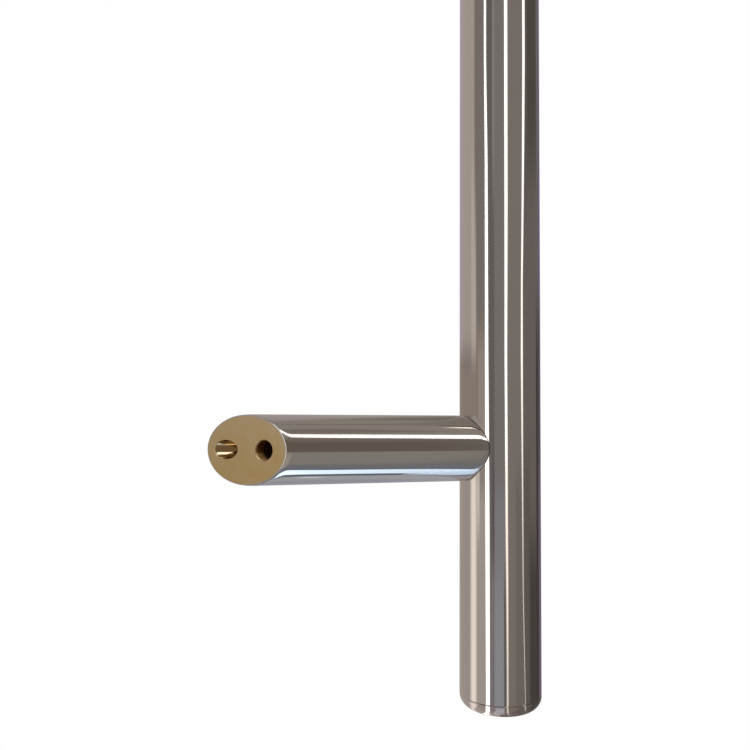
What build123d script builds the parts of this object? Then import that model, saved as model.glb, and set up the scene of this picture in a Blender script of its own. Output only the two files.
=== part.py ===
from build123d import *
import os
from math import cos, radians, sin, tan

# Door pull handle with cranked posts: a round grip bar stands off the door on two thinner
# posts that lean sideways, so that the hand clears the door's edge.
# The door's surface is the plane Y = 0, with the door on its +Y side, and Z points up.
# The origin lies on the door, midway between the two tapped fixing holes.

os.makedirs("parts", exist_ok=True)

# Layout on the door
fixing_spacing = 400.0  # between the two fixing holes
grip_overhang = 100.0  # from a post's axis to the nearer end of the grip
projection = 70.0  # from the door to the grip's axis
crank_angle = 45.0  # lean of the posts, from straight out of the door

# Tubes
grip_diameter = 31.8
grip_wall = 1.5
post_diameter = 25.4
post_wall = 0.6

# End caps
cap_height = 5.0  # what shows beyond the tube
cap_rim_height = 0.5  # straight rim beside the seam, below the rounded edge
cap_spigot_length = 12.0
cap_wall = 2.0
glue_groove_width = 1.2
glue_groove_depth = 0.4
seam_bevel = 0.25  # edge break on both sides of a visible seam

# Brass inserts at the door
insert_length = 30.0  # along the post's axis
insert_lead = 1.5  # bevel that starts the insert into the post
tap_diameter = 6.8  # core of an M8 thread
tap_depth = 14.0
tap_web = 5.55  # brass left on the face between the tapped hole and the insert's rim
tap_lip = 0.45  # bevel that starts the bolt into the tapped hole
slant_diameter = 6.8
slant_depth = 12.0
slant_web = 2.8  # brass left on the face between the slanting hole and the insert's rim
slant_lip = 0.15
slant_angle = 50.0  # lean of the slanting hole, a little flatter than the post's
drill_point_angle = 118.0

# Joint between post and grip
plug_height = 16.0  # from the crown of the grip to the plug's flat end
screw_hole_diameter = 9.0
screw_diameter = 8.0
screw_length = 35.0
screw_thread_length = 16.0
screw_head_diameter = 13.0
screw_head_height = 8.0
screw_bevel = 0.8
socket_across_flats = 6.0
socket_depth = 4.0
washer_outer_diameter = 14.8
washer_inner_diameter = 8.3
washer_thickness = 2.0
washer_slit = 1.6
washer_slit_angle = 20.0
slug_length = 32.0
slug_tap_reach = 8.0  # how far the tapped hole passes the grip's axis

# Fits, as gaps on the radius
press_gap = 0.02
saddle_gap = 0.02
thread_gap = 0.1

# Sizes that follow
grip_radius = grip_diameter / 2
grip_bore_radius = grip_radius - grip_wall
cap_edge_radius = cap_height - cap_rim_height
post_radius = post_diameter / 2
post_bore_radius = post_radius - post_wall
insert_radius = post_bore_radius - press_gap
tap_radius = tap_diameter / 2
slant_radius = slant_diameter / 2
lean = radians(crank_angle)
slant_lean = radians(slant_angle)

# Places that follow
post_direction = (sin(lean), cos(lean), 0)
post_axis_length = projection / cos(lean)
face_half_length = insert_radius / cos(lean)
tap_to_post_axis = face_half_length - tap_web - tap_radius
slant_x = tap_to_post_axis + face_half_length - slant_web - slant_radius / cos(slant_lean)
grip_x = tap_to_post_axis - projection * tan(lean)
grip_y = -projection
grip_half_length = fixing_spacing / 2 + grip_overhang
tube_half_length = grip_half_length - cap_height
door_plane = Plane(origin=(0, 0, 0), x_dir=(1, 0, 0), z_dir=(0, 1, 0))
grip_axis = Axis(origin=(grip_x, grip_y, 0), direction=(0, 0, 1))
ends = (("lower", -1), ("upper", 1))


def post_height(side):
    return side * fixing_spacing / 2


def post_plane(side, reach):
    """Plane square to a post, at a distance from the grip's axis, towards the door."""
    origin = (grip_x + reach * sin(lean), grip_y + reach * cos(lean), post_height(side))
    return Plane(origin=origin, x_dir=(0, 0, 1), z_dir=post_direction)


def long_section(plane):
    """Plane through a hole's axis: its x runs outwards, its y out of the hole's mouth."""
    return Plane(origin=plane.origin, x_dir=plane.x_dir, z_dir=plane.x_dir.cross(plane.z_dir))


def grip_section(height):
    """Level plane with its origin on the grip's axis."""
    return Plane(origin=(grip_x, grip_y, height), x_dir=(1, 0, 0), z_dir=(0, 0, 1))


def saddle_shape(side):
    """The stretch of the grip that a post or its plug is hollowed out to sit on."""
    with BuildPart() as saddle:
        with BuildSketch(grip_section(post_height(side))):
            Circle(grip_radius + saddle_gap)
        extrude(amount=grip_diameter, both=True)
    return saddle.part


def drilled_shape(plane, radius, depth):
    """Blind hole into a plane, square to it, with the cone that a drill leaves."""
    point = radius / tan(radians(drill_point_angle / 2))
    above = radius * 4
    with BuildPart() as hole:
        with BuildSketch(long_section(plane)):
            with BuildLine():
                Polyline(
                    (0, above), (radius, above), (radius, -depth), (0, -depth - point), close=True
                )
            make_face()
        revolve(axis=Axis(origin=plane.origin, direction=plane.z_dir))
    return hole.part


# Grip tube, with one clearance hole for each joint screw
with BuildPart() as grip_tube:
    with BuildSketch(grip_section(0)):
        Circle(grip_radius)
        Circle(grip_bore_radius, mode=Mode.SUBTRACT)
    extrude(amount=tube_half_length, both=True)
    outer_rims = grip_tube.edges().filter_by(GeomType.CIRCLE).sort_by(SortBy.RADIUS)[-2:]
    chamfer(outer_rims, length=seam_bevel)
    for end, side in ends:
        with BuildSketch(post_plane(side, 0)):
            Circle(screw_hole_diameter / 2)
        extrude(amount=grip_diameter, mode=Mode.SUBTRACT)
grip_tube.part.label = "grip_tube"
export_step(grip_tube.part, "parts/grip_tube.step")

for end, side in ends:
    saddle = saddle_shape(side)

    # End cap: a turned cup with a rounded rim, a shoulder and a spigot with a glue groove
    cap_foot = Plane(
        origin=(grip_x, grip_y, side * tube_half_length), x_dir=(1, 0, 0), z_dir=(0, -side, 0)
    )
    spigot_radius = grip_bore_radius - press_gap
    with BuildPart() as end_cap:
        with BuildSketch(cap_foot):
            with BuildLine():
                rim_foot = (grip_radius, cap_rim_height)
                rim_top = (grip_radius - cap_edge_radius, cap_height)
                Polyline(
                    (0, cap_height - cap_wall),
                    (0, cap_height),
                    rim_top,
                )
                RadiusArc(rim_top, rim_foot, cap_edge_radius)
                Polyline(
                    rim_foot,
                    (grip_radius, seam_bevel),
                    (grip_radius - seam_bevel, 0),
                    (spigot_radius, 0),
                    (spigot_radius, -cap_spigot_length),
                    (spigot_radius - cap_wall, -cap_spigot_length),
                    (spigot_radius - cap_wall, 0),
                    (grip_radius - cap_edge_radius, cap_height - cap_wall),
                    (0, cap_height - cap_wall),
                )
            make_face()
        revolve(axis=grip_axis)
        with BuildSketch(cap_foot):
            with Locations((spigot_radius, -cap_spigot_length / 2)):
                Rectangle(glue_groove_depth * 2, glue_groove_width)
        revolve(axis=grip_axis, mode=Mode.SUBTRACT)
    end_cap.part.label = end + "_end_cap"
    export_step(end_cap.part, "parts/" + end + "_end_cap.step")

    # Post: thin tube, coped on the grip and mitred at the door
    with BuildPart() as post:
        with BuildSketch(post_plane(side, 0)):
            Circle(post_radius)
            Circle(post_bore_radius, mode=Mode.SUBTRACT)
        extrude(amount=post_axis_length + post_radius * tan(lean) + post_wall)
        add(saddle, mode=Mode.SUBTRACT)
        split(bisect_by=door_plane, keep=Keep.BOTTOM)
    post.part.label = end + "_post"
    export_step(post.part, "parts/" + end + "_post.step")

    # Brass insert: flush with the mitred face, with the tapped fixing hole square to the door
    # and a blind hole that slants in towards the grip
    tap_mouth = Plane(origin=(0, 0, post_height(side)), x_dir=(1, 0, 0), z_dir=(0, 1, 0))
    slant_mouth = Plane(
        origin=(slant_x, 0, post_height(side)),
        x_dir=(0, 0, 1),
        z_dir=(sin(slant_lean), cos(slant_lean), 0),
    )
    tap_hole = drilled_shape(tap_mouth, tap_radius, tap_depth)
    slant_hole = drilled_shape(slant_mouth, slant_radius, slant_depth)
    with BuildPart() as mount_insert:
        with BuildSketch(post_plane(side, post_axis_length - insert_length)):
            Circle(insert_radius)
        extrude(amount=insert_length + post_radius * tan(lean) + post_wall)
        chamfer(mount_insert.faces().sort_by(Axis.Y)[0].edges(), length=insert_lead)
        split(bisect_by=door_plane, keep=Keep.BOTTOM)
        add(tap_hole, mode=Mode.SUBTRACT)
        add(slant_hole, mode=Mode.SUBTRACT)
        hole_mouths = mount_insert.faces().sort_by(Axis.Y)[-1].inner_wires().sort_by(Axis.X)
        chamfer(hole_mouths[0].edges(), length=tap_lip)
        chamfer(hole_mouths[-1].edges(), length=slant_lip)
    mount_insert.part.label = end + "_mount_insert"
    export_step(mount_insert.part, "parts/" + end + "_mount_insert.step")

    # Post plug: seats on the grip and takes the pull of the joint screw
    plug_reach = grip_radius + plug_height
    with BuildPart() as post_plug:
        with BuildSketch(post_plane(side, 0)):
            Circle(post_bore_radius - press_gap)
            Circle(screw_hole_diameter / 2, mode=Mode.SUBTRACT)
        extrude(amount=plug_reach)
        add(saddle, mode=Mode.SUBTRACT)
    post_plug.part.label = end + "_post_plug"
    export_step(post_plug.part, "parts/" + end + "_post_plug.step")

    # Lock washer: spring ring with a slanting slit, pressed flat
    with BuildPart() as lock_washer:
        with BuildSketch(post_plane(side, plug_reach)):
            Circle(washer_outer_diameter / 2)
            Circle(washer_inner_diameter / 2, mode=Mode.SUBTRACT)
        extrude(amount=washer_thickness)
        with BuildSketch(long_section(post_plane(side, plug_reach + washer_thickness / 2))):
            Rectangle(washer_slit, washer_thickness * 3, rotation=washer_slit_angle)
        extrude(amount=washer_outer_diameter, mode=Mode.SUBTRACT)
    lock_washer.part.label = end + "_lock_washer"
    export_step(lock_washer.part, "parts/" + end + "_lock_washer.step")

    # Joint screw: socket head cap screw, with its thread drawn at the core diameter
    seat_reach = plug_reach + washer_thickness
    tip_reach = seat_reach - screw_length
    core_radius = tap_radius - thread_gap
    with BuildPart() as joint_screw:
        with BuildSketch(post_plane(side, seat_reach)):
            Circle(screw_head_diameter / 2)
        extrude(amount=screw_head_height)
        chamfer(joint_screw.edges().sort_by(Axis.Y)[-1], length=screw_bevel)
        with BuildSketch(post_plane(side, tip_reach + screw_thread_length)):
            Circle(screw_diameter / 2)
        extrude(amount=screw_length - screw_thread_length)
        with BuildSketch(post_plane(side, tip_reach)):
            Circle(core_radius)
        extrude(amount=screw_thread_length)
        with BuildSketch(post_plane(side, seat_reach + screw_head_height)):
            RegularPolygon(socket_across_flats / 2, 6, major_radius=False)
        extrude(amount=-socket_depth, mode=Mode.SUBTRACT)
    joint_screw.part.label = end + "_joint_screw"
    export_step(joint_screw.part, "parts/" + end + "_joint_screw.step")

    # Anchor slug: sits in the grip tube behind the post and holds the screw's thread
    slug_crown = post_plane(side, grip_bore_radius)
    slug_tap = drilled_shape(slug_crown, tap_radius, grip_bore_radius + slug_tap_reach)
    with BuildPart() as anchor_slug:
        with BuildSketch(grip_section(post_height(side))):
            Circle(grip_bore_radius - press_gap)
        extrude(amount=slug_length / 2, both=True)
        add(slug_tap, mode=Mode.SUBTRACT)
    anchor_slug.part.label = end + "_anchor_slug"
    export_step(anchor_slug.part, "parts/" + end + "_anchor_slug.step")
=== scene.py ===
"""Looks of the offset door pull handle: polished tubes, brass inserts, camera and studio."""
from math import cos, pi, radians, sin, tan

import bmesh
import bpy
import numpy as np
from mathutils import Matrix, Vector

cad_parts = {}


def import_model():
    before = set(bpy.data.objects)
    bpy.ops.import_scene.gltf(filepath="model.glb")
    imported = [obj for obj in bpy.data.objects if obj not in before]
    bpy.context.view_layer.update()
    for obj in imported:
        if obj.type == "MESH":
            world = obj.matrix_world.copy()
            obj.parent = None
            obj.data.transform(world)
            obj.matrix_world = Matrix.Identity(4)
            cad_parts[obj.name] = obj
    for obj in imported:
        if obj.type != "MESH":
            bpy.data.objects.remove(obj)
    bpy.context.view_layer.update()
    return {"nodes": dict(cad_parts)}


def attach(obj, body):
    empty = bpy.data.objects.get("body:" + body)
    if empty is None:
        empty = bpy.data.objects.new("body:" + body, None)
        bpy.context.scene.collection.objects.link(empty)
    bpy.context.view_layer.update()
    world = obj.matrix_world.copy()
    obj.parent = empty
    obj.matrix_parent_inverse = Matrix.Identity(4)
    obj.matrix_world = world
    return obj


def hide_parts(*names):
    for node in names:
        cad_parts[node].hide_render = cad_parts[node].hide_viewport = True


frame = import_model()

# Sizes of the handle, in millimetres. Meshes are turned into metres as they are made.
MM = 0.001
FIXING_SPACING = 400.0
PROJECTION = 70.0
LEAN = radians(45.0)
GRIP_RADIUS = 15.9
GRIP_BORE_RADIUS = 14.4
TUBE_HALF_LENGTH = 295.0
SEAM_BEVEL = 0.25
POST_RADIUS = 12.7
POST_BORE_RADIUS = 12.1
SADDLE_GAP = 0.02
SCREW_HOLE_RADIUS = 4.5
CAP_HEIGHT = 5.0
CAP_RIM_HEIGHT = 0.5
CAP_EDGE_RADIUS = 4.5
CAP_SPIGOT_LENGTH = 12.0
CAP_SPIGOT_RADIUS = 14.38
CAP_WALL = 2.0
GLUE_GROOVE_WIDTH = 1.2
GLUE_GROOVE_DEPTH = 0.4
INSERT_RADIUS = 12.08
INSERT_LENGTH = 30.0
INSERT_LEAD = 1.5
BORE_RADIUS = 3.4
TAP_LIP = 0.45
TAP_DEPTH = 14.0
TAP_WEB = 5.55
SLANT_LIP = 0.15
SLANT_DEPTH = 12.0
SLANT_WEB = 2.8
SLANT_LEAN = radians(50.0)
DRILL_POINT_ANGLE = radians(118.0)
THREAD_START = 4.5
THREAD_PITCH = 1.25
THREAD_HEIGHT = 0.55
THREAD_RUN_IN = 0.8  # in pitches, like the run-out
THREAD_RUN_OUT = 1.5
THREAD_FLANK = 1.6  # steepness of the flanks of the trapezoid wave
THREAD_LAND = 0.4  # how much of the wave is cut off flat at the core

# How far the polishing wheel rolls the posts off towards their ends
SADDLE_ROLL_SLOPE = tan(radians(8.0))
SADDLE_ROLL_REACH = 4.0
SADDLE_EDGE_BREAK = 0.35
MITRE_ROLL_SLOPE = tan(radians(9.0))
MITRE_ROLL_REACH = 3.0
# Distance from the grip at which the painted shade line on a post's edge, standing in for the shadow in the
# joint, starts to fade, and is gone
JOINT_SHADE_LINE = (0.25, 0.5)

# How finely the surfaces are divided
AROUND = 192
TUBE_MIDDLE_ROWS = 120
TUBE_END_ROWS = 30
WINDOW_CELLS = 12
WINDOW_HALF_HEIGHT = 7.0
WINDOW_ROWS = 16
WINDOW_RINGS = 8
SCREW_HOLE_ROWS = 4
CAP_RINGS = 12
CAP_EDGE_ROWS = 24
BREAK_ROWS = 4
ROLL_ROWS = 12
ROLL_CROWDING = 1.6
POST_WALL_ROWS = 24
POST_BORE_ROWS = 12
CHORD_STEPS = 48
FACE_RINGS = 16
LIP_ROWS = 2
TAP_MOUTH_ROWS = 8
THREAD_ROWS = 111
SLANT_ROWS = 24
DRILL_POINT_ROWS = 6
MERGE_DISTANCE = 0.0000001  # metres
SHARP_ANGLE = radians(24.0)

# Places that follow
POST_DIRECTION = np.array([sin(LEAN), cos(LEAN), 0.0])
ACROSS = np.array([cos(LEAN), -sin(LEAN), 0.0])
UP = np.array([0.0, 0.0, 1.0])
POST_AXIS_LENGTH = PROJECTION / cos(LEAN)
FACE_HALF_LENGTH = INSERT_RADIUS / cos(LEAN)
FACE_X = FACE_HALF_LENGTH - TAP_WEB - BORE_RADIUS
GRIP_AXIS = np.array([FACE_X - PROJECTION * tan(LEAN), -PROJECTION, 0.0])
SLANT_X = FACE_X + FACE_HALF_LENGTH - SLANT_WEB - BORE_RADIUS / cos(SLANT_LEAN)
ENDS = (("lower", -1.0), ("upper", 1.0))


def post_foot(side):
    """Point on the grip's axis from which a post starts."""
    return GRIP_AXIS + UP * side * FIXING_SPACING / 2


# Mesh making


def grid_faces(rows, columns, closed_rows, closed_columns, first):
    """Quads of a grid, with its last row or column joined to the first where it is closed."""
    row = np.arange(rows if closed_rows else rows - 1)[:, None]
    column = np.arange(columns if closed_columns else columns - 1)[None, :]
    next_row, next_column = (row + 1) % rows, (column + 1) % columns
    corners = [
        row * columns + column,
        row * columns + next_column,
        next_row * columns + next_column,
        next_row * columns + column,
    ]
    return np.stack([c.reshape(-1) for c in corners], axis=1) + first


def make_piece(name, patches, material, nodes):
    """One closed mesh out of several grids: equal points are merged, faces turned outwards."""
    points, faces, first = [], [], 0
    for grid, closed_rows, closed_columns in patches:
        rows, columns = grid.shape[:2]
        points.append(grid.reshape(-1, 3) * MM)
        faces.append(grid_faces(rows, columns, closed_rows, closed_columns, first))
        first += rows * columns
    mesh = bpy.data.meshes.new(name)
    mesh.from_pydata(np.concatenate(points).tolist(), [], np.concatenate(faces).tolist())
    shell = bmesh.new()
    shell.from_mesh(mesh)
    bmesh.ops.remove_doubles(shell, verts=shell.verts, dist=MERGE_DISTANCE)
    bmesh.ops.recalc_face_normals(shell, faces=shell.faces)
    shell.to_mesh(mesh)
    shell.free()
    mesh.shade_smooth()
    mesh.set_sharp_from_angle(angle=SHARP_ANGLE)
    mesh.materials.append(material)
    piece = bpy.data.objects.new(name, mesh)
    bpy.context.scene.collection.objects.link(piece)
    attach(piece, "root")
    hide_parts(*nodes)
    return piece


def blend(start, end, steps):
    """Rows that run straight from one array of points to another."""
    share = np.linspace(0.0, 1.0, steps + 1).reshape((-1,) + (1,) * start.ndim)
    return start + (end - start) * share


def around_grip(radius, angle, height):
    """Points on a circle about the grip's axis, its angle counted from the posts' direction."""
    angle, height = np.broadcast_arrays(angle, height)
    flat = np.cos(angle)[..., None] * POST_DIRECTION + np.sin(angle)[..., None] * ACROSS
    return GRIP_AXIS + radius * flat + height[..., None] * UP


def around_post(side, radius, angle, reach):
    """Points on a circle about a post's axis, at a reach from the grip's axis."""
    offset = np.cos(angle)[..., None] * UP + np.sin(angle)[..., None] * ACROSS
    radius = np.asarray(radius, float)[..., None]
    return post_foot(side) + reach[..., None] * POST_DIRECTION + radius * offset


def full_turn():
    """The angles at which every round surface has its points."""
    return np.arange(AROUND) * 2 * pi / AROUND


# Grip tube


def window_outline():
    """Angle and height of the points round a rectangle on the tube, once about its middle."""
    half_angle = WINDOW_CELLS * 2 * pi / AROUND
    along = np.linspace(-half_angle, half_angle, 2 * WINDOW_CELLS + 1)
    up = np.linspace(-WINDOW_HALF_HEIGHT, WINDOW_HALF_HEIGHT, WINDOW_ROWS + 1)
    flat, tall = np.full_like(along, WINDOW_HALF_HEIGHT), np.full_like(up, half_angle)
    angles = [along[:-1], tall[:-1], along[:0:-1], -tall[:-1]]
    heights = [-flat[:-1], up[:-1], flat[:-1], up[:0:-1]]
    return np.concatenate(angles), np.concatenate(heights)


def screw_hole_edge(radius):
    """Angle and height of the edge that the screw hole leaves on a wall of the tube."""
    angle, height = window_outline()
    turn = np.arctan2(height, GRIP_RADIUS * angle)
    return np.arcsin(SCREW_HOLE_RADIUS * np.cos(turn) / radius), SCREW_HOLE_RADIUS * np.sin(turn)


def drilled_wall(radius, half_length):
    """A wall of the tube: plain sleeves between the two windows, the rest of the sleeve beside
    each window, and in each window rings that shrink from its outline to the screw hole."""
    middle, reach = FIXING_SPACING / 2, WINDOW_HALF_HEIGHT
    angle = full_turn()
    patches = []
    for low, high, rows in (
        (-half_length, -middle - reach, TUBE_END_ROWS),
        (-middle + reach, middle - reach, TUBE_MIDDLE_ROWS),
        (middle + reach, half_length, TUBE_END_ROWS),
    ):
        height = np.linspace(low, high, rows + 1)[:, None]
        patches.append((around_grip(radius, angle[None, :], height), False, True))
    beside = angle[WINDOW_CELLS : AROUND - WINDOW_CELLS + 1]
    outline_angle, outline_height = window_outline()
    edge_angle, edge_height = screw_hole_edge(radius)
    for _, side in ENDS:
        height = side * middle + np.linspace(-reach, reach, WINDOW_ROWS + 1)[:, None]
        patches.append((around_grip(radius, beside[None, :], height), False, False))
        ring_angle = blend(outline_angle, edge_angle, WINDOW_RINGS)
        ring_height = blend(outline_height, edge_height, WINDOW_RINGS) + side * middle
        patches.append((around_grip(radius, ring_angle, ring_height), False, True))
    return patches


def grip_tube(material):
    """Outer wall, bore, the bevelled end rings and the walls of the two screw holes."""
    patches = drilled_wall(GRIP_RADIUS, TUBE_HALF_LENGTH - SEAM_BEVEL)
    patches += drilled_wall(GRIP_BORE_RADIUS, TUBE_HALF_LENGTH)
    for _, side in ENDS:
        rings = (
            (GRIP_RADIUS, TUBE_HALF_LENGTH - SEAM_BEVEL),
            (GRIP_RADIUS - SEAM_BEVEL, TUBE_HALF_LENGTH),
            (GRIP_BORE_RADIUS, TUBE_HALF_LENGTH),
        )
        end = np.stack([around_grip(r, full_turn(), side * h) for r, h in rings])
        patches.append((end, False, True))
        outer_angle, height = screw_hole_edge(GRIP_RADIUS)
        inner_angle, _ = screw_hole_edge(GRIP_BORE_RADIUS)
        height = height + side * FIXING_SPACING / 2
        mouth = around_grip(GRIP_RADIUS, outer_angle, height)
        foot = around_grip(GRIP_BORE_RADIUS, inner_angle, height)
        patches.append((blend(mouth, foot, SCREW_HOLE_ROWS), False, True))
    return make_piece("grip_bar", patches, material, ["grip_tube"])


# End caps


def arc(centre, radius, start, end, steps):
    """Radius and height of points along an arc in a section."""
    angle = np.linspace(start, end, steps + 1)
    return list(zip(centre[0] + radius * np.cos(angle), centre[1] + radius * np.sin(angle)))


def end_cap(name, side, material):
    """The cap's section turned about the grip's axis: domed edge, rim, spigot and hollow."""
    groove_half = GLUE_GROOVE_WIDTH / 2
    groove_middle = -CAP_SPIGOT_LENGTH / 2
    groove_radius = CAP_SPIGOT_RADIUS - GLUE_GROOVE_DEPTH
    hollow_radius = CAP_SPIGOT_RADIUS - CAP_WALL
    crown_radius = GRIP_RADIUS - CAP_EDGE_RADIUS
    section = [(r, CAP_HEIGHT) for r in np.linspace(0.0, crown_radius, CAP_RINGS + 1)[:-1]]
    section += arc((crown_radius, CAP_RIM_HEIGHT), CAP_EDGE_RADIUS, pi / 2, 0.0, CAP_EDGE_ROWS)
    section += [
        (GRIP_RADIUS, SEAM_BEVEL),
        (GRIP_RADIUS - SEAM_BEVEL, 0.0),
        (CAP_SPIGOT_RADIUS, 0.0),
        (CAP_SPIGOT_RADIUS, groove_middle + groove_half),
        (groove_radius, groove_middle + groove_half),
        (groove_radius, groove_middle - groove_half),
        (CAP_SPIGOT_RADIUS, groove_middle - groove_half),
        (CAP_SPIGOT_RADIUS, -CAP_SPIGOT_LENGTH),
        (hollow_radius, -CAP_SPIGOT_LENGTH),
        (hollow_radius, 0.0),
        (crown_radius, CAP_HEIGHT - CAP_WALL),
        (0.0, CAP_HEIGHT - CAP_WALL),
    ]
    rings = [
        around_grip(radius, full_turn(), side * (TUBE_HALF_LENGTH + height))
        for radius, height in section
    ]
    patches = [(np.stack(rings), False, True)]
    return make_piece(name + "_domed_cap", patches, material, [name + "_end_cap"])


# Posts


def mitre_reach(radius, angle):
    """Distance from the grip's axis to the door, along a line on a post."""
    return POST_AXIS_LENGTH + radius * np.sin(angle) * tan(LEAN)


def saddle_reach(radius, angle):
    """Distance from the grip's axis to the grip's surface, along a line on a post."""
    return np.sqrt((GRIP_RADIUS + SADDLE_GAP) ** 2 - (radius * np.sin(angle)) ** 2)


def rolled(distance, slope, reach):
    """Radius of a post near an end: the slope grows with the square of the nearness."""
    nearness = np.clip(1 - distance / reach, 0.0, 1.0)
    return POST_RADIUS - slope * reach / 3 * nearness**3


def rim_crown(outer):
    """Radius and depth of points across the mitred rim: from the brass it falls away at 3 to
    12 degrees, and then rounds over to 45 degrees at the outer wall."""
    radius = np.linspace(POST_BORE_RADIUS, outer, 11)
    falls = np.radians(np.concatenate([np.linspace(3.0, 12.0, 7), [20.0, 32.0, 45.0]]))
    depth = np.concatenate([[0.0], np.cumsum(np.diff(radius) * np.tan(falls))])
    return radius, depth


def post(name, side, material):
    """For each angle about the axis, a closed loop: out along the wall from the saddle to the
    mitre, in over the crowned rim, back along the bore and out over the saddle's edge. The
    wall's rows crowd towards both ends, where it is rolled off."""
    angle = full_turn()
    from_end = SADDLE_ROLL_REACH * np.linspace(0.0, 1.0, ROLL_ROWS + 1) ** ROLL_CROWDING
    break_top = rolled(SADDLE_EDGE_BREAK, SADDLE_ROLL_SLOPE, SADDLE_ROLL_REACH) - SADDLE_EDGE_BREAK
    rows = []
    for turn in np.linspace(pi / 2, 0.0, BREAK_ROWS + 1)[:-1]:
        radius = break_top + SADDLE_EDGE_BREAK * cos(turn)
        rows.append((radius, saddle_reach(radius, angle) + SADDLE_EDGE_BREAK * (1 - sin(turn))))
    for distance in from_end + SADDLE_EDGE_BREAK:
        radius = rolled(distance, SADDLE_ROLL_SLOPE, SADDLE_ROLL_REACH)
        rows.append((radius, saddle_reach(radius, angle) + distance))
    rim_radius, rim_depth = rim_crown(rolled(0.0, MITRE_ROLL_SLOPE, MITRE_ROLL_REACH))
    wall = []
    for distance in from_end:
        radius = rolled(distance, MITRE_ROLL_SLOPE, MITRE_ROLL_REACH)
        reach = mitre_reach(radius, angle) - rim_depth[-1] / cos(LEAN) - distance
        wall.append((radius, reach))
    plain_wall = blend(rows[-1][1], wall[-1][1], POST_WALL_ROWS)[1:-1]
    rows += [(POST_RADIUS, reach) for reach in plain_wall]
    rows += wall[::-1]
    for radius, depth in list(zip(rim_radius, rim_depth))[-2::-1]:
        rows.append((radius, mitre_reach(radius, angle) - depth / cos(LEAN)))
    bore = blend(rows[-1][1], saddle_reach(POST_BORE_RADIUS, angle), POST_BORE_ROWS)[1:]
    rows += [(POST_BORE_RADIUS, reach) for reach in bore]
    loop = [around_post(side, np.full(AROUND, radius), angle, reach) for radius, reach in rows]
    patches = [(np.stack(loop), True, True)]
    return make_piece(name + "_leaning_post", patches, material, [name + "_post"])


# Brass inserts


def thread_radius(depth, turn):
    """Radius of a tapped wall: a trapezoid wave that climbs one pitch a turn, from the core
    out into the metal, and fades in below a smooth mouth and out above the hole's end."""
    phase = np.mod(depth / THREAD_PITCH + turn / (2 * pi), 1.0)
    wave = np.clip(THREAD_FLANK * (1 - np.abs(2 * phase - 1)) - THREAD_LAND, 0.0, 1.0)
    fade_in = np.clip((depth - THREAD_START) / (THREAD_RUN_IN * THREAD_PITCH), 0.0, 1.0)
    fade_out = np.clip((TAP_DEPTH - depth) / (THREAD_RUN_OUT * THREAD_PITCH), 0.0, 1.0)
    return BORE_RADIUS + THREAD_HEIGHT * wave * fade_in * fade_out


def on_face(x, z, side):
    """Points in the plane of the door."""
    return np.stack([x, np.zeros_like(x), z + side * FIXING_SPACING / 2], axis=-1)


def half_face_outline(half, side):
    """Half of the insert's mitred outline, closed by the short axis between the two holes."""
    angle = full_turn()
    rim = around_post(side, np.full(AROUND, INSERT_RADIUS), angle, mitre_reach(INSERT_RADIUS, angle))
    quarter = AROUND // 2
    curve = np.roll(rim, -quarter, axis=0) if half < 0 else rim
    curve = curve[: quarter + 1]
    chord = blend(curve[-1], curve[0], CHORD_STEPS)
    return np.concatenate([curve[:-1], chord[:-1]])


def tapped_hole(side):
    """Face, lip, threaded wall and drill point of the fixing hole, square to the door."""
    outline = half_face_outline(-1, side)
    z = outline[:, 2] - side * FIXING_SPACING / 2
    turn = np.arctan2(z, outline[:, 0])
    lip = BORE_RADIUS + TAP_LIP
    mouth = on_face(lip * np.cos(turn), lip * np.sin(turn), side)
    smooth_depth = np.linspace(TAP_LIP, THREAD_START, TAP_MOUTH_ROWS + 1)
    cut_depth = np.linspace(THREAD_START, TAP_DEPTH, THREAD_ROWS + 1)[1:]
    depth = np.concatenate([smooth_depth, cut_depth])[:, None]
    radius = thread_radius(depth, turn[None, :])
    wall = on_face(radius * np.cos(turn), radius * np.sin(turn), side)
    wall[..., 1] = -depth
    tip = on_face(np.zeros_like(turn), np.zeros_like(turn), side)
    tip[..., 1] = -TAP_DEPTH - BORE_RADIUS / tan(DRILL_POINT_ANGLE / 2)
    return [
        (blend(outline, mouth, FACE_RINGS), False, True),
        (blend(mouth, wall[0], LIP_ROWS), False, True),
        (wall, False, True),
        (blend(wall[-1], tip, DRILL_POINT_ROWS), False, True),
    ]


def slanting_hole(side):
    """Face, lip, smooth wall and drill point of the hole that slants in towards the grip."""
    outline = half_face_outline(1, side)
    z = outline[:, 2] - side * FIXING_SPACING / 2
    turn = np.arctan2(z, (outline[:, 0] - SLANT_X) * cos(SLANT_LEAN))
    across, up = BORE_RADIUS * np.cos(turn), BORE_RADIUS * np.sin(turn)
    centre = np.array([SLANT_X, 0.0, side * FIXING_SPACING / 2])
    outwards = np.array([sin(SLANT_LEAN), cos(SLANT_LEAN), 0.0])
    sideways = np.array([cos(SLANT_LEAN), -sin(SLANT_LEAN), 0.0])

    def ring(radius_share, reach):
        offset = radius_share * (across[:, None] * sideways + up[:, None] * UP)
        return centre + reach[:, None] * outwards + offset

    spread = np.stack([across / cos(SLANT_LEAN), up], axis=1)
    spread *= (1 + SLANT_LIP / np.linalg.norm(spread, axis=1))[:, None]
    mouth = on_face(SLANT_X + spread[:, 0], spread[:, 1], side)
    end_reach = np.full_like(turn, -SLANT_DEPTH)
    top = ring(1.0, across * tan(SLANT_LEAN) - SLANT_LIP)
    foot = ring(1.0, end_reach)
    tip = ring(0.0, end_reach - BORE_RADIUS / tan(DRILL_POINT_ANGLE / 2))
    return [
        (blend(outline, mouth, FACE_RINGS), False, True),
        (blend(mouth, top, LIP_ROWS), False, True),
        (blend(top, foot, SLANT_ROWS), False, True),
        (blend(foot, tip, DRILL_POINT_ROWS), False, True),
    ]


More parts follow.
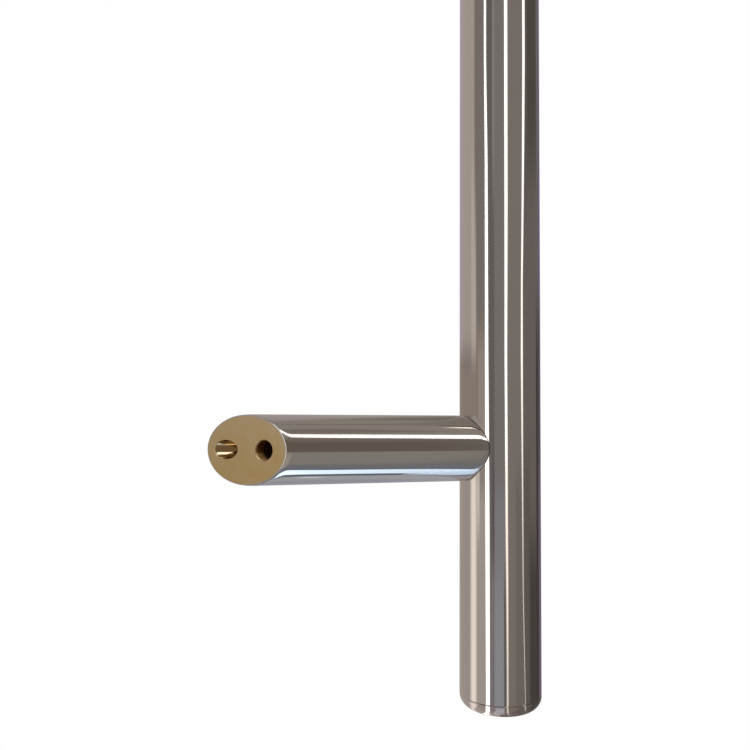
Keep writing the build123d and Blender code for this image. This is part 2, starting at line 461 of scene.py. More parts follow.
def mount_insert(name, side, material):
    """Brass plug: a bevelled inner end, a round side up to the mitre, and the drilled face.
    Each corner of its section has the number of rows that lead to the next."""
    angle = full_turn()
    end_reach = np.full(AROUND, POST_AXIS_LENGTH - INSERT_LENGTH)
    rim = np.full(AROUND, INSERT_RADIUS)
    corners = [
        (rim * 0.0, end_reach, 6),
        (rim - INSERT_LEAD, end_reach, 2),
        (rim, end_reach + INSERT_LEAD, 24),
        (rim, mitre_reach(INSERT_RADIUS, angle), 0),
    ]
    rows = []
    for (radius, reach, steps), (next_radius, next_reach, _) in zip(corners, corners[1:]):
        radii, reaches = blend(radius, next_radius, steps), blend(reach, next_reach, steps)
        rows += [around_post(side, r, angle, along) for r, along in zip(radii[:-1], reaches[:-1])]
    rows.append(around_post(side, rim, angle, corners[-1][1]))
    patches = [(np.stack(rows), False, True)] + tapped_hole(side) + slanting_hole(side)
    return make_piece(name + "_brass_insert", patches, material, [name + "_mount_insert"])


# Materials


class Signal:
    """A number that varies over a surface. Arithmetic on it adds Math nodes."""

    def __init__(self, finish, socket):
        self.finish = finish
        self.socket = socket

    def math(self, operation, *values):
        return self.finish.node("ShaderNodeMath", dict(enumerate(values)), operation=operation)

    def __add__(self, other):
        return self.math("ADD", self, other)

    def __sub__(self, other):
        return self.math("SUBTRACT", self, other)

    def __rsub__(self, other):
        return self.math("SUBTRACT", other, self)

    def __mul__(self, other):
        return self.math("MULTIPLY", self, other)

    def __gt__(self, other):
        return self.math("GREATER_THAN", self, other)

    __radd__ = __add__
    __rmul__ = __mul__

    def ramp(self, low, high, start=0.0, end=1.0):
        """Runs smoothly from start to end as the number goes from low to high."""
        values = {0: self, 1: low, 2: high, 3: start, 4: end}
        return self.finish.node("ShaderNodeMapRange", values, interpolation_type="SMOOTHSTEP")


class Finish:
    """A node material or world, with one method that adds any node."""

    def __init__(self, owner):
        owner.use_nodes = True
        self.owner = owner
        self.tree = owner.node_tree
        self.tree.nodes.clear()

    def node(self, kind, sockets=None, output=0, **settings):
        """Adds a node: its settings first, then the values or links of its sockets."""
        made = self.tree.nodes.new(kind)
        for name, value in settings.items():
            setattr(made, name, value)
        for name, value in (sockets or {}).items():
            if isinstance(value, Signal):
                self.tree.links.new(value.socket, made.inputs[name])
            else:
                made.inputs[name].default_value = value
        return Signal(self, made.outputs[output] if made.outputs else None)

    def place(self, scale=(1.0, 1.0, 1.0), turn=(0.0, 0.0, 0.0)):
        """Object coordinates, turned first and then scaled."""
        own = self.node("ShaderNodeTexCoord", output="Object")
        turned = self.node("ShaderNodeMapping", {"Vector": own, "Rotation": turn})
        return self.node("ShaderNodeMapping", {"Vector": turned, "Scale": scale})

    def millimetres(self, axis):
        """An object coordinate in millimetres: axis is 0 for X, 1 for Y and 2 for Z."""
        own = self.node("ShaderNodeTexCoord", output="Object")
        return self.node("ShaderNodeSeparateXYZ", {0: own}, output=axis) * (1 / MM)

    def noise(self, vector, scale, detail=2.0, roughness=0.5, distortion=0.0):
        """Smooth noise from 0 to 1."""
        values = {
            "Vector": vector,
            "Scale": scale,
            "Detail": detail,
            "Roughness": roughness,
            "Distortion": distortion,
        }
        return self.node("ShaderNodeTexNoise", values, output="Fac")

    def mix(self, share, first, second):
        """Colour between two colours."""
        values = {0: share, 6: first, 7: second}
        return self.node("ShaderNodeMix", values, output=2, data_type="RGBA")

    def metal(self, colour, roughness, normal, metallic=1.0):
        """Ends a material as a metal surface."""
        values = {"Base Color": colour, "Roughness": roughness, "Normal": normal, "Metallic": metallic}
        shader = self.node("ShaderNodeBsdfPrincipled", values)
        self.node("ShaderNodeOutputMaterial", {"Surface": shader})
        return self.owner

    def bump(self, height, distance):
        """Normal from a height; distance is in metres."""
        values = {"Height": height, "Distance": distance, "Strength": 1.0}
        return self.node("ShaderNodeBump", values)


def new_finish(name):
    return Finish(bpy.data.materials.new(name))


def polished_tube(name, lean=None, tint=(1.0, 1.0, 1.0)):
    """Mirror polish on a drawn tube: polishing rings lie across it and long draw lines along it,
    with hazy patches and rare hair scratches. A post's length leans, and its edge against the
    grip carries a dark line of painted shade for the shadow in the joint; a grip's length is upright."""
    finish = new_finish(name)
    turn = (0, 0, lean or 0)

    def lengthwise(scale):
        """Stretches the pattern along the tube, which lies on Y once a lean is taken out."""
        return finish.place((1, scale, 1) if lean else (1, 1, scale), turn)

    patches = finish.noise(lengthwise(0.4), 22.0, 3.0)
    rings = finish.noise(lengthwise(260), 14.0, 3.0, 0.6)
    draw_lines = finish.noise(lengthwise(0.02), 900.0, 2.0)
    hair = finish.noise(lengthwise(0.15), 260.0, 1.0, 0.4, 1.2)
    scratches = (hair * -1 + 0.5).ramp(0.0, 0.012) * (hair - 0.5).ramp(-0.004, 0.0)
    bright = [0.62 * tint[0], 0.60 * tint[1], 0.58 * tint[2], 1]
    dull = [0.585 * tint[0], 0.56 * tint[1], 0.535 * tint[2], 1]
    colour = finish.mix(patches.ramp(0.35, 0.7) * 0.6 + draw_lines * 0.2, bright, dull)
    roughness = 0.045 + patches.ramp(0.3, 0.75) * 0.03 + rings * 0.02 + scratches * 0.06
    if lean:
        own = finish.node("ShaderNodeTexCoord", output="Object")
        from_axis = finish.node("ShaderNodeVectorMath", {0: own, 1: GRIP_AXIS * MM}, operation="SUBTRACT")
        level = finish.node("ShaderNodeVectorMath", {0: from_axis, 1: (1, 1, 0)}, operation="MULTIPLY")
        distance = finish.node("ShaderNodeVectorMath", {0: level}, output="Value", operation="LENGTH")
        dark_until, unshaded_from = ((GRIP_RADIUS + width) * MM for width in JOINT_SHADE_LINE)
        # Painted shade: a dark line on the post's edge against the grip, standing in for the shadow in the
        # joint.
        joint_shade = distance.ramp(dark_until, unshaded_from, 1.0, 0.0)
        colour = finish.mix(joint_shade * 0.9, colour, (0.02, 0.017, 0.015, 1))
    height = rings * 0.6 + draw_lines * 0.4 - scratches
    return finish.metal(colour, roughness, finish.bump(height, 0.0000004))


def satin_brass(name):
    """Faced brass, mitred on a saw and ground: fine grinding lines over soft clouds on the cut
    face, with painted shading from pale towards the handle's middle to golden towards its end;
    smoother drilled walls; and a tapped hole whose smooth mouth is painted lighter on its side
    towards the handle's end, and whose thread turns rough and is darkened to brown by painted
    shade. The limits of its ramps are in millimetres, and the tapped hole has the lower X."""
    finish = new_finish(name)
    across, to_door, height = (finish.millimetres(axis) for axis in range(3))
    depth = to_door * -1
    outward = height.math("ABSOLUTE", height) - FIXING_SPACING / 2
    inside = depth.ramp(0.1, 0.3)
    tapped = across.ramp(4.2, 5.0, 1.0, 0.0)
    # Painted shade: deeper than 3.5 mm the tapped hole's thread is darkened to brown, and it is also rough.
    threaded = depth.ramp(3.5, 5.5) * tapped
    drilled = inside * (1 - tapped)
    clouds = finish.noise(finish.place(), 140.0, 3.0, 0.55, 0.4)
    grain = finish.noise(finish.place((1, 1, 60), (0, radians(12), 0)), 120.0, 3.0, 0.65)
    pits = finish.noise(finish.place(), 2600.0, 2.0)
    light, golden, thread_shade_brown = (0.64, 0.51, 0.325, 1), (0.60, 0.435, 0.195, 1), (0.05, 0.03, 0.015, 1)
    # Painted shading on the cut face: paler towards the handle's middle, golden towards its end, half and
    # half with the clouds.
    face_clouds_and_shading = finish.mix(clouds.ramp(0.34, 0.70) * 0.5 + outward.ramp(-9.0, 11.0) * 0.5, light, golden)
    mouth = depth.ramp(0.15, 0.3) * tapped * (1 - threaded)
    # Painted light: the mouth's brown walls are lighter on their side towards the handle's end.
    walls = finish.mix(outward.ramp(0.7, 1.1), (0.34, 0.16, 0.03, 1), (0.72, 0.44, 0.17, 1))
    colour = finish.mix(threaded, finish.mix(mouth, face_clouds_and_shading, walls), thread_shade_brown)
    satin = 0.30 + clouds * 0.10 + grain * 0.06
    smooth = 0.13 + pits * 0.06
    roughness = satin * (1 - inside) + inside * smooth - drilled * 0.05 + (threaded + mouth) * 0.35
    metallic = 1 - mouth * 0.8
    relief = grain * 0.7 + pits * 0.3
    return finish.metal(colour, roughness, finish.bump(relief, 0.000003), metallic)


def turned_steel(name, colour, roughness):
    """Plain turned steel inside the tubes: fine tool rings along the post and a dull grain."""
    finish = new_finish(name)
    rings = finish.noise(finish.place((1, 180, 1), (0, 0, LEAN)), 20.0, 2.0)
    grain = finish.noise(finish.place(), 900.0, 3.0)
    dark = [c * 0.8 for c in colour] + [1]
    shade = finish.mix(grain.ramp(0.35, 0.7), list(colour) + [1], dark)
    rough = roughness + rings * 0.1 + grain * 0.08
    return finish.metal(shade, rough, finish.bump(rings + grain * 0.4, 0.000006))


# Studio

CAMERA_PLACE = Vector((-162.15, 208.36, -189.18)) * MM
CAMERA_HEADING = 152.87  # degrees from the door's side, +Y, towards +X
CAMERA_PITCH = 2.41
CAMERA_ROLL = 0.208
CAMERA_LENS = 35.474
CAMERA_SHIFT = (-0.0399, 0.0187)
ROOM_CENTRE = Vector((GRIP_AXIS[0], GRIP_AXIS[1], -FIXING_SPACING / 2)) * MM
SHELL_RADIUS = 24.0
DOME_COLUMNS = 96
DOME_ROWS = 48
PANEL_DISTANCE = 12.0
PANEL_STEPS = 8
FLOOR_HEIGHT = -1.2
FLOOR_HALF_WIDTH = 40.0


def direction(azimuth, elevation):
    """Unit vector: azimuth in degrees from +Y towards +X, elevation above the horizon."""
    a, e = np.radians(azimuth), np.radians(elevation)
    return np.stack([np.sin(a) * np.cos(e), np.cos(a) * np.cos(e), np.sin(e) + 0 * a], axis=-1)


def stage_mesh(name, points, faces, finish):
    """Adds a mesh that belongs to the studio and not to the handle."""
    mesh = bpy.data.meshes.new(name)
    mesh.from_pydata(points.reshape(-1, 3).tolist(), [], faces.tolist())
    mesh.materials.append(finish)
    made = bpy.data.objects.new(name, mesh)
    bpy.context.scene.collection.objects.link(made)
    return made


def reflected_only(piece, lit=None, diffuse=False):
    """The camera and shadows pass through it: it only lights the lit pieces, and shows in them."""
    piece.visible_camera = False
    piece.visible_shadow = False
    piece.visible_diffuse = diffuse
    if lit:
        piece.light_linking.receiver_collection = lit


def group(name, pieces):
    """The pieces that a part of the studio lights."""
    made = bpy.data.collections.new(name)
    for piece in pieces:
        made.objects.link(piece)
    return made


def glow(finish, colour):
    """Clear and glowing, so that what lies behind it shows through and is added to."""
    light = finish.node("ShaderNodeEmission", {"Color": colour, "Strength": 1.0})
    clear = finish.node("ShaderNodeBsdfTransparent")
    both = finish.node("ShaderNodeAddShader", {0: clear, 1: light})
    finish.node("ShaderNodeOutputMaterial", {"Surface": both})


# Each zone of a room: its name, azimuths, elevations, how soft its edges are in each, and its
# colour. Zones are painted in this order, over the room's own grey.
BAR_ROOM_GREY = (0.20, 0.18, 0.165, 1)
BAR_ROOM = (
    ("olive_wall", (-145, -88), (-12, 19), (6, 10), (0.20, 0.173, 0.162)),
    ("olive_wall_low", (-112, -88), (-30, -3), (8, 6), (0.165, 0.145, 0.13)),
    ("olive_top", (-150, -104), (19, 92), (6, 10), (0.11, 0.098, 0.085)),
    ("olive_top_near", (-106, -88), (17, 92), (5, 8), (0.155, 0.137, 0.13)),
    ("olive_low", (-160, -110), (-92, -9), (10, 8), (0.087, 0.08, 0.07)),
    ("dark_corner", (-158, -143), (-92, 8), (6, 10), (0.075, 0.06, 0.06)),
    ("lilac_wall", (-212, -158), (-92, 92), (6, 4), (0.19, 0.155, 0.22)),
    ("lilac_dark", (-175, -158), (-4, 9), (6, 4), (0.12, 0.10, 0.13)),
    ("door_end_wall", (49.5, 152), (5, 92), (5, 4), (0.54, 0.48, 0.43)),
    ("mauve", (112, 152), (5, 92), (12, 4), (0.50, 0.44, 0.49)),
    ("door_end_light", (50, 68), (3, 19), (10, 8), (0.68, 0.60, 0.54)),
    ("door_end_low", (48, 152), (-3, 5), (5, 4), (0.37, 0.31, 0.275)),
    ("door_end_floor", (46, 152), (-92, -3), (5, 2), (0.48, 0.44, 0.40)),
    ("cream_panel", (50, 69.5), (-92, -3), (13, 2), (1.24, 1.10, 0.985)),
    ("door_side_wall", (20, 50), (7, 92), (4, 5), (0.27, 0.24, 0.22)),
    ("door_side_top", (44, 56), (15, 92), (8, 12), (0.27, 0.24, 0.21)),
    ("door_side_low", (20, 50), (-5, 7), (4, 5), (0.43, 0.365, 0.325)),
    ("door_side_gap", (46.0, 48.5), (-4, 6), (1.5, 4), (0.21, 0.19, 0.17)),
    ("door_side_floor", (20, 47), (-92, -5), (4, 3), (0.515, 0.465, 0.42)),
    ("cream_side", (39, 49), (-8.5, -3), (5, 4), (0.85, 0.77, 0.70)),
    ("camera_shade", (-4, 12), (-4, 92), (6, 4), (0.187, 0.173, 0.17)),
    ("camera_gap", (-6, 2), (-12, -3), (4, 3), (0.146, 0.133, 0.142)),
    ("camera_gap_right", (2, 12), (-12, -3), (4, 3), (0.21, 0.19, 0.19)),
    ("camera_gap_low", (-6, 12), (-92, -11), (4, 4), (0.28, 0.25, 0.265)),
    ("camera_top_light", (-10, 0), (18, 92), (6, 8), (0.365, 0.345, 0.33)),
    ("camera_wall", (-37, -5), (-5, 92), (4, 4), (0.27, 0.25, 0.24)),
    ("camera_floor", (-37, -5), (-92, -5), (4, 4), (0.31, 0.30, 0.325)),
    ("camera_floor_low", (-37, -5), (-92, -13), (4, 8), (0.37, 0.38, 0.42)),
    ("camera_line_shade", (-35.5, -30.5), (-92, -12), (2.5, 5), (0.15, 0.135, 0.12)),
    ("left_wall", (-88, -37), (-92, 92), (3, 4), (0.28, 0.245, 0.225)),
    ("left_wall_end", (-90, -64), (-92, -4), (10, 5), (0.226, 0.20, 0.185)),
    ("high_round", (-212, 152), (38, 92), (2, 8), (0.44, 0.40, 0.35)),
    ("high_dark", (-95, -48), (56, 69), (8, 3), (0.15, 0.13, 0.11)),
    ("low_round", (-212, 152), (-92, -40), (2, 10), (0.66, 0.64, 0.74)),
    ("low_pale_blue", (-112, 52), (-72, -60.5), (8, 2.5), (1.35, 1.72, 2.2)),
    ("low_blue_edge", (18, 70), (-64, -59.5), (6, 1.5), (0.33, 0.35, 0.38)),
    ("low_floor", (-212, 152), (-92, -72), (2, 3), (0.36, 0.36, 0.385)),
)
CAP_ROOM_GREY = (0.19, 0.16, 0.14, 1)
CAP_ROOM = (
    ("far_corner", (-160, -118), (-45, 92), (16, 12), (0.10, 0.09, 0.08)),
    ("beside_line", (-72, -41), (-92, 92), (18, 4), (0.27, 0.235, 0.20)),
    ("dark_by_line", (-39, -31), (-92, 92), (4, 4), (0.19, 0.16, 0.145)),
    ("middle", (-33, -4), (-92, 92), (4, 4), (0.27, 0.25, 0.255)),
    ("beside_strip", (-6, 14), (-92, 92), (4, 4), (0.33, 0.275, 0.275)),
    ("door_side", (14, 48), (-92, 92), (4, 4), (0.44, 0.39, 0.36)),
    ("door_end", (48, 162), (-92, 92), (6, 4), (0.52, 0.455, 0.42)),
    ("cream_panel", (49, 69), (-23, 0), (10, 2), (1.18, 1.04, 0.94)),
    ("nadir", (-202, -4), (-92, -64), (2, 8), (0.23, 0.195, 0.19)),
)
POST_ROOM_GREY = (0.36, 0.325, 0.287, 1)
POST_ROOM = (
    ("far_ceiling", (-232, -203), (20, 76), (14, 5), (0.48, 0.43, 0.42)),
    ("far_ceiling_dark", (-201, -168), (16, 60), (12, 8), (0.24, 0.225, 0.19)),
    ("above_strip", (-84, -54), (54, 70), (8, 6), (0.265, 0.235, 0.20)),
    ("below_strip", (-92, -46), (22, 40), (6, 4), (0.23, 0.195, 0.17)),
    ("dark_wall", (-94, -44), (-7, 25), (6, 5), (0.183, 0.15, 0.128)),
    ("dark_wall_far", (-96, -68), (-7, 32), (8, 8), (0.205, 0.185, 0.165)),
    ("lit_wall", (-102, -44), (-40, -7), (6, 4), (0.32, 0.30, 0.27)),
    ("lit_wall_far", (-104, -72), (-60, -7), (14, 8), (0.265, 0.25, 0.225)),
    ("lower_wall", (-116, -40), (-67, -44), (8, 18), (0.235, 0.24, 0.255)),
    ("low_blue_grey", (-156, -40), (-92, -64), (6, 5), (0.165, 0.19, 0.23)),
    ("blue_shade", (-124, -40), (-68, -59), (8, 3), (0.20, 0.22, 0.265)),
    ("floor_light", (-232, -161), (-92, -24), (6, 10), (0.50, 0.51, 0.545)),
    ("floor_light_end", (-232, -196), (-60, -24), (14, 16), (0.42, 0.41, 0.49)),
    ("low_blue_line", (-218, -150), (-88, -79.5), (8, 2), (0.13, 0.155, 0.19)),
    ("floor_dim", (-40, 20), (-92, -44), (8, 8), (0.30, 0.31, 0.35)),
    ("hole_dark", (-46, -26), (-46, 32), (5, 8), (0.20, 0.15, 0.105)),
    ("door_side", (-4, 62), (0, 40), (10, 14), (0.50, 0.455, 0.42)),
    ("door_side_low", (-4, 62), (-30, 0), (10, 14), (0.49, 0.44, 0.36)),
    ("rim_shade", (0, 60), (-72, -30), (8, 6), (0.15, 0.13, 0.13)),
)

# Each light panel: its name, its colour, how soft its edges are as a share of its width, and
# its rows, each with azimuth and elevation at one edge, the same at the other, and brightness.
BAR_PANELS = (
    ("door_side_strip", (1.0, 0.98, 0.95), 0.08, (
        ((18.0, 38), (24.4, 38), 2.2), ((18.0, 27), (24.4, 27), 2.2), ((13.8, 20), (22.2, 20), 2.2),
        ((12.0, 5), (22.0, 5), 2.2), ((9.0, -8), (21.5, -8), 2.2), ((8.7, -20), (20.2, -20), 2.2),
        ((8.7, -40), (20.2, -40), 2.2))),
    ("camera_side_strip", (1.0, 0.98, 0.94), 0.12, (
        ((-43.2, 38), (-33.5, 38), 2.2), ((-43.2, 27), (-33.5, 27), 2.2), ((-42.9, 17), (-33.7, 17), 2.2),
        ((-40.6, 5), (-33.3, 5), 2.2), ((-41.5, -3), (-34.4, -3), 2.0))),
    ("camera_side_low", (1.0, 0.91, 0.80), 0.12, (
        ((-41.5, -3), (-34.4, -3), 1.8), ((-42.0, -8), (-35.0, -8), 1.5),
        ((-42.6, -13), (-36.7, -13), 1.35), ((-42.3, -19), (-38.2, -19), 1.15),
        ((-42.3, -40), (-38.2, -40), 1.15))),
    ("far_strip", (1.0, 0.97, 0.93), 0.2, (
        ((-98.5, 38), (-88.4, 38), 2.0), ((-98.5, 27), (-88.4, 27), 2.0), ((-96.0, 22), (-87.0, 22), 2.0),
        ((-92.6, 16.6), (-84.8, 16.6), 1.9), ((-88.6, 11), (-82.0, 11), 1.7), ((-88.2, 5), (-80.6, 5), 1.6),
        ((-87.8, -6), (-83.6, -6), 1.3), ((-88.2, -13), (-85.2, -13), 0.9),
        ((-95.5, -22), (-93.0, -22), 0.7))),
)
CAP_PANELS = (
    ("door_side_strip", (1.0, 0.98, 0.95), 0.06, (
        ((20.6, -5), (8.4, -5), 2.2), ((20.6, -21), (8.4, -21), 2.2), ((24.5, -37), (10.2, -30), 2.2),
        ((28.5, -46), (11.5, -39), 2.2), ((36, -55), (15.5, -49), 2.2), ((50, -64), (22, -59), 2.2),
        ((80, -69.5), (38, -69), 2.2), ((120, -66), (79, -76), 2.0), ((148, -47), (132, -70), 1.6),
        ((161, -37), (154, -48), 1.2))),
    ("middle_patch", (0.88, 0.92, 1.0), 0.1, (
        ((-5, -5), (-33, -5), 0.18), ((-5, -24), (-33, -24), 0.2), ((-5, -31), (-33.5, -31), 0.3),
        ((-4, -40), (-34.5, -40), 0.34), ((-2, -50), (-36, -50), 0.34), ((5, -61), (-40, -61), 0.34),
        ((22, -73), (-47, -73), 0.34), ((70, -82), (-78, -82), 0.34))),
    ("camera_side_line", (1.0, 0.93, 0.86), 0.25, (
        ((-37, -5), (-42.5, -5), 1.0), ((-37, -21), (-42.5, -21), 1.0), ((-38.5, -38), (-44.5, -38), 0.9),
        ((-40.5, -48), (-47.5, -48), 0.85), ((-44, -59), (-52, -58), 0.75), ((-54, -70), (-65, -69), 0.65),
        ((-88, -80), (-101, -78), 0.5), ((-170, -75), (-165, -73), 0.4))),
    ("far_line", (1.0, 0.96, 0.93), 0.25, (
        ((-89, -5), (-93.5, -5), 0.8), ((-89.5, -21), (-94, -21), 0.8), ((-95, -32), (-100, -34), 0.8),
        ((-101, -40), (-107, -41), 0.7), ((-109, -46), (-117, -48), 0.6),
        ((-122, -52), (-132, -52), 0.25))),
    ("cream_patch", (1.0, 0.88, 0.80), 0.3, (
        ((80, -24), (46, -22), 0.75), ((86, -36), (50, -33), 0.7), ((106, -45), (56, -40), 0.65),
        ((136, -42), (76, -51), 0.6), ((160, -30), (118, -54), 0.6))),
)
POST_PANELS = (
    ("ceiling_strip", (1.0, 0.98, 0.96), 0.04, (
        ((0, 70), (0, 58), 2.3), ((-18, 68), (-18, 58), 2.3), ((-30, 64), (-30, 55), 2.3),
        ((-42, 60), (-42, 51), 2.3), ((-50, 56), (-50, 46), 2.3), ((-58, 52), (-56, 43), 2.3),
        ((-62, 50.1), (-60, 39.8), 2.3), ((-67, 48.7), (-64, 37.4), 2.3), ((-73, 45.5), (-68, 35.2), 2.3),
        ((-78, 42.8), (-72, 32.1), 2.3), ((-84, 39), (-77, 29), 2.3), ((-92, 33), (-92, 24), 2.3),
        ((-100, 28), (-100, 20), 2.3))),
    ("pale_blue_panel", (0.79, 0.95, 1.15), 0.05, (
        ((-226, -86), (-220, -82), 1.4), ((-60, -88), (-200, -84.5), 1.5), ((-40, -81), (-180, -85), 1.6),
        ((-46, -72.5), (-150, -85), 1.65), ((-54, -69), (-121, -83), 1.7), ((-59, -66.3), (-115, -81), 1.7),
        ((-65, -65.3), (-111, -80), 1.65), ((-68, -65.5), (-112, -80), 1.55),
        ((-75, -66), (-120, -77.9), 1.45), ((-84, -64.8), (-128, -74.7), 1.3),
        ((-90, -64.1), (-134, -72.4), 1.22), ((-97, -63.6), (-147, -69.4), 1.15),
        ((-107, -63.6), (-161, -65), 1.3), ((-122, -60), (-172, -60), 1.4),
        ((-140, -52), (-178, -50), 1.4))),
    ("low_line", (0.82, 0.87, 1.0), 0.3, (
        ((-176, -78.0), (-176, -74.5), 0.5), ((-190, -74.5), (-190, -71), 0.5))),
    ("saddle_line", (1.0, 0.93, 0.84), 0.4, (
        ((-113, 66.8), (-104, 65.6), 0.5), ((-113, 66.0), (-104, 64.6), 1.5),
        ((-112, 65), (-103.5, 63.6), 2.1), ((-112.5, 62), (-103.5, 61.5), 2.1),
        ((-113.5, 57), (-104.5, 57), 2.1), ((-111, 50), (-102, 50), 2.0), ((-108, 45), (-99.5, 45), 1.8),
        ((-103, 40), (-95, 40), 1.5))),
    ("rim_strip", (1.0, 0.98, 0.95), 0.1, (
        ((8, 40), (21, 40), 1.5), ((8, 0), (21, 0), 1.3), ((8, -20), (21, -20), 0.9))),
)
MITRE_PANELS = (
    ("mitre_fill", (1.0, 1.0, 0.94), 0.35, (
        ((-51, -3), (-29, -3), 0.0), ((-51, -11), (-29, -11), 0.22), ((-51, -24), (-29, -24), 0.27),
        ((-51, -42), (-29, -42), 0.25), ((-51, -56), (-29, -56), 0.05))),
)
INSERT_PANELS = (
    ("upper_light", (0.72, 0.77, 1.0), 0.15, (((-47, 35), (-31, 35), 2.3), ((-47, 54), (-31, 54), 2.3))),
    ("lower_light", (0.8, 0.9, 1.0), 0.2, (((-37, -84), (-24, -84), 1.1), ((-37, -54), (-24, -54), 1.1))),
)


def room(name, zones, grey, lit, radius, first_azimuth, diffuse=False):
    """A dome whose colour follows the direction from the handle, zone over zone. Azimuths run
    from the first azimuth up, once round."""
    finish = new_finish(name)
    own = finish.node("ShaderNodeTexCoord", output="Object")
    centred = finish.node("ShaderNodeVectorMath", {0: own, 1: ROOM_CENTRE}, operation="SUBTRACT")
    unit = finish.node("ShaderNodeVectorMath", {0: centred}, operation="NORMALIZE")
    x, y, z = (finish.node("ShaderNodeSeparateXYZ", {0: unit}, output=axis) for axis in range(3))
    azimuth = x.math("ARCTAN2", x, y) * (180 / pi)
    azimuth = azimuth - (azimuth > first_azimuth + 360) * 360
    elevation = z.math("ARCSINE", z) * (180 / pi)

    def band(value, limits, soft):
        low, high = limits
        rise = value.ramp(low - soft / 2, low + soft / 2)
        return rise * value.ramp(high - soft / 2, high + soft / 2, 1.0, 0.0)

    colour = grey
    for _, azimuths, elevations, soft, paint in zones:
        share = band(azimuth, azimuths, soft[0]) * band(elevation, elevations, soft[1])
        colour = finish.mix(share, colour, paint + (1,))
    glow(finish, colour)
    finish.owner.cycles.emission_sampling = "NONE"
    dome(name, radius, finish.owner, lit, diffuse)


def dome(name, radius, finish, lit=None, diffuse=False):
    """A sphere about the middle of the seen half of the handle."""
    azimuths = np.linspace(-180, 180, DOME_COLUMNS + 1)[None, :-1]
    elevations = np.linspace(-90, 90, DOME_ROWS + 1)[:, None]
    points = np.array(ROOM_CENTRE) + radius * direction(azimuths, elevations)
    faces = grid_faces(DOME_ROWS + 1, DOME_COLUMNS, False, True, 0)
    reflected_only(stage_mesh(name, points, faces, finish), lit, diffuse)


def black_shell():
    """Closes the studio behind the clear domes, so that no metal sees the white outside."""
    finish = new_finish("black_shell")
    black = finish.node("ShaderNodeEmission", {"Color": (0, 0, 0, 1), "Strength": 0.0})
    finish.node("ShaderNodeOutputMaterial", {"Surface": black})
    dome("black_shell", SHELL_RADIUS, finish.owner, diffuse=True)


def light_panel(name, colour, soft, rows, lit, diffuse=False):
    """A glowing panel that runs straight from row to row, and fades out at its two long edges."""
    finish = new_finish(name)
    bright = finish.node("ShaderNodeVertexColor", layer_name="glow")
    glow(finish, bright)
    step = np.linspace(0, len(rows) - 1, PANEL_STEPS * (len(rows) - 1) + 1)
    whole = np.arange(len(rows))
    edges = [
        np.stack([np.interp(step, whole, [row[edge][axis] for row in rows]) for axis in (0, 1)])
        for edge in (0, 1)
    ]
    # Where soft is over 0.35, as in the saddle line, the columns at 0.35 and 0.65 fold back
    # over their neighbours. Light adds up in the fold, and the look of that line rests on it.
    share = np.array([0.0, soft / 2, soft, 0.35, 0.5, 0.65, 1 - soft, 1 - soft / 2, 1.0])
    fade = np.array([0.0, 0.5, 1.0, 1.0, 1.0, 1.0, 1.0, 0.5, 0.0])
    first, last = (direction(edge[0], edge[1])[:, None, :] for edge in edges)
    points = np.array(ROOM_CENTRE) + PANEL_DISTANCE * (first + (last - first) * share[:, None])
    faces = grid_faces(len(step), len(share), False, False, 0)
    panel = stage_mesh(name, points, faces, finish.owner)
    strength = np.interp(step, whole, [row[2] for row in rows])[:, None] * fade
    shades = strength[..., None] * np.array(colour + (0.0,)) + np.array([0.0, 0.0, 0.0, 1.0])
    layer = panel.data.color_attributes.new("glow", "FLOAT_COLOR", "POINT")
    layer.data.foreach_set("color", shades.reshape(-1).astype(np.float32))
    reflected_only(panel, lit, diffuse)


def floor():
    """A wide plain floor below the hanging handle: white to the camera, pale to the light."""
    finish = new_finish("pale_floor")
    pale = finish.node("ShaderNodeBsdfDiffuse", {"Color": (0.9, 0.9, 0.9, 1)})
    white = finish.node("ShaderNodeEmission", {"Color": (1, 1, 1, 1), "Strength": 1.0})
    seen = finish.node("ShaderNodeLightPath", output="Is Camera Ray")
    both = finish.node("ShaderNodeMixShader", {0: seen, 1: pale, 2: white})
    finish.node("ShaderNodeOutputMaterial", {"Surface": both})
    corners = np.array([[-1, -1, 0], [1, -1, 0], [1, 1, 0], [-1, 1, 0]])
    points = FLOOR_HALF_WIDTH * corners + np.array([0.0, 0.0, FLOOR_HEIGHT])
    plane = stage_mesh("floor", points, np.array([[0, 1, 2, 3]]), finish.owner)
    plane.visible_glossy = False


def world():
    """White wherever it is seen; its light on pale surfaces is at a plain level."""
    made = bpy.data.worlds.new("studio_world")
    bpy.context.scene.world = made
    made.cycles.sampling_method = "NONE"
    finish = Finish(made)
    path = finish.node("ShaderNodeLightPath", output="Is Camera Ray")
    glossy = finish.node("ShaderNodeLightPath", output="Is Glossy Ray")
    through = finish.node("ShaderNodeLightPath", output="Is Transmission Ray")
    seen = path.math("MINIMUM", path + glossy + through, 1.0)
    white = finish.node("ShaderNodeBackground", {"Color": (1, 1, 1, 1), "Strength": 1.0})
    light = finish.node("ShaderNodeBackground", {"Color": (1, 1, 1, 1), "Strength": 0.95})
    both = finish.node("ShaderNodeMixShader", {0: seen, 1: light, 2: white})
    finish.node("ShaderNodeOutputWorld", {"Surface": both})


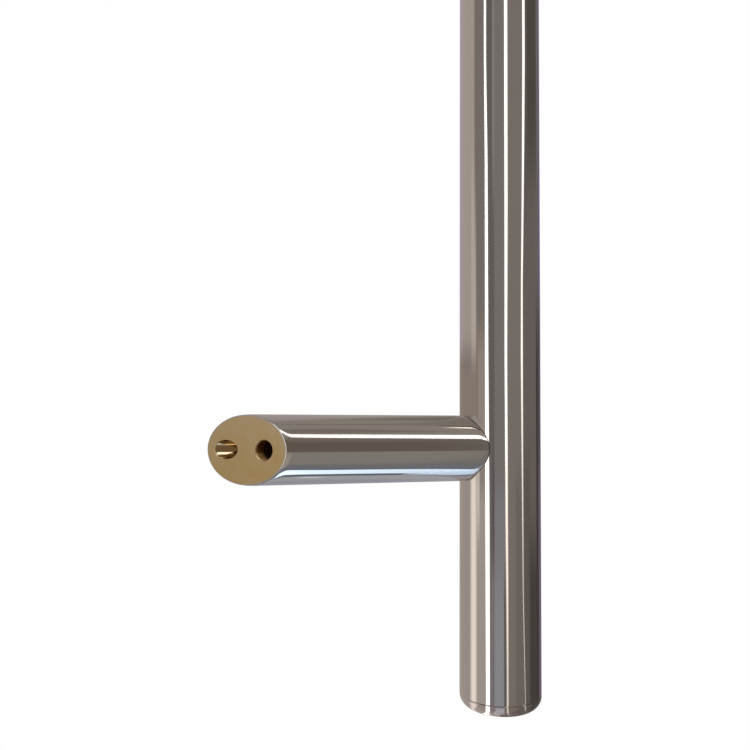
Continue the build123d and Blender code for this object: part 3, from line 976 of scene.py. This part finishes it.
def camera():
    """The photograph's viewpoint, from the door's side."""
    data = bpy.data.cameras.new("camera")
    data.lens = CAMERA_LENS
    data.sensor_width = 36.0
    data.shift_x, data.shift_y = CAMERA_SHIFT
    data.clip_start = 0.01
    made = bpy.data.objects.new("camera", data)
    bpy.context.scene.collection.objects.link(made)
    turn = Matrix.Rotation(-radians(CAMERA_HEADING), 4, "Z")
    tilt = Matrix.Rotation(radians(90 + CAMERA_PITCH), 4, "X")
    roll = Matrix.Rotation(radians(CAMERA_ROLL), 4, "Z")
    made.matrix_world = Matrix.Translation(CAMERA_PLACE) @ turn @ tilt @ roll
    bpy.context.scene.camera = made


grip_steel = polished_tube("polished_grip_steel")
post_steel = polished_tube("polished_post_steel", lean=LEAN)
cap_steel = polished_tube("polished_cap_steel", tint=(0.99, 0.97, 1.0))
brass = satin_brass("satin_insert_brass")
bar_pieces = [grip_tube(grip_steel)]
cap_pieces, post_pieces, insert_pieces = [], [], []
for end, side in ENDS:
    cap_pieces.append(end_cap(end, side, cap_steel))
    post_pieces.append(post(end, side, post_steel))
    insert_pieces.append(mount_insert(end, side, brass))

plain_steel = turned_steel("turned_inner_steel", (0.5, 0.5, 0.5), roughness=0.3)
black_steel = turned_steel("black_screw_steel", (0.09, 0.09, 0.1), roughness=0.4)
for end, _ in ENDS:
    for part in ("post_plug", "anchor_slug", "lock_washer", "joint_screw"):
        node = frame["nodes"][end + "_" + part]
        node.data.materials.clear()
        node.data.materials.append(black_steel if part == "joint_screw" else plain_steel)

bpy.context.scene.view_settings.view_transform = "Standard"
camera()
world()
floor()
black_shell()
bar_group = group("grip", bar_pieces)
cap_group = group("caps", cap_pieces)
post_only_group = group("posts", post_pieces)
insert_group = group("inserts", insert_pieces)
post_group = group("posts_and_inserts", post_pieces + insert_pieces)
room("room_for_grip", BAR_ROOM, BAR_ROOM_GREY, bar_group, radius=16.0, first_azimuth=-210)
room("room_for_caps", CAP_ROOM, CAP_ROOM_GREY, cap_group, radius=18.0, first_azimuth=-200)
room("room_for_posts", POST_ROOM, POST_ROOM_GREY, post_group, radius=20.0, first_azimuth=-230, diffuse=True)
for prefix, panels, lit, lights_rough in (
    ("bar_", BAR_PANELS, bar_group, False),
    ("cap_", CAP_PANELS, cap_group, False),
    ("post_", POST_PANELS, post_group, True),
    ("post_", MITRE_PANELS, post_only_group, False),
    ("insert_", INSERT_PANELS, insert_group, True),
):
    for panel_name, paint, edge_share, panel_rows in panels:
        light_panel(prefix + panel_name, paint, edge_share, panel_rows, lit, lights_rough)
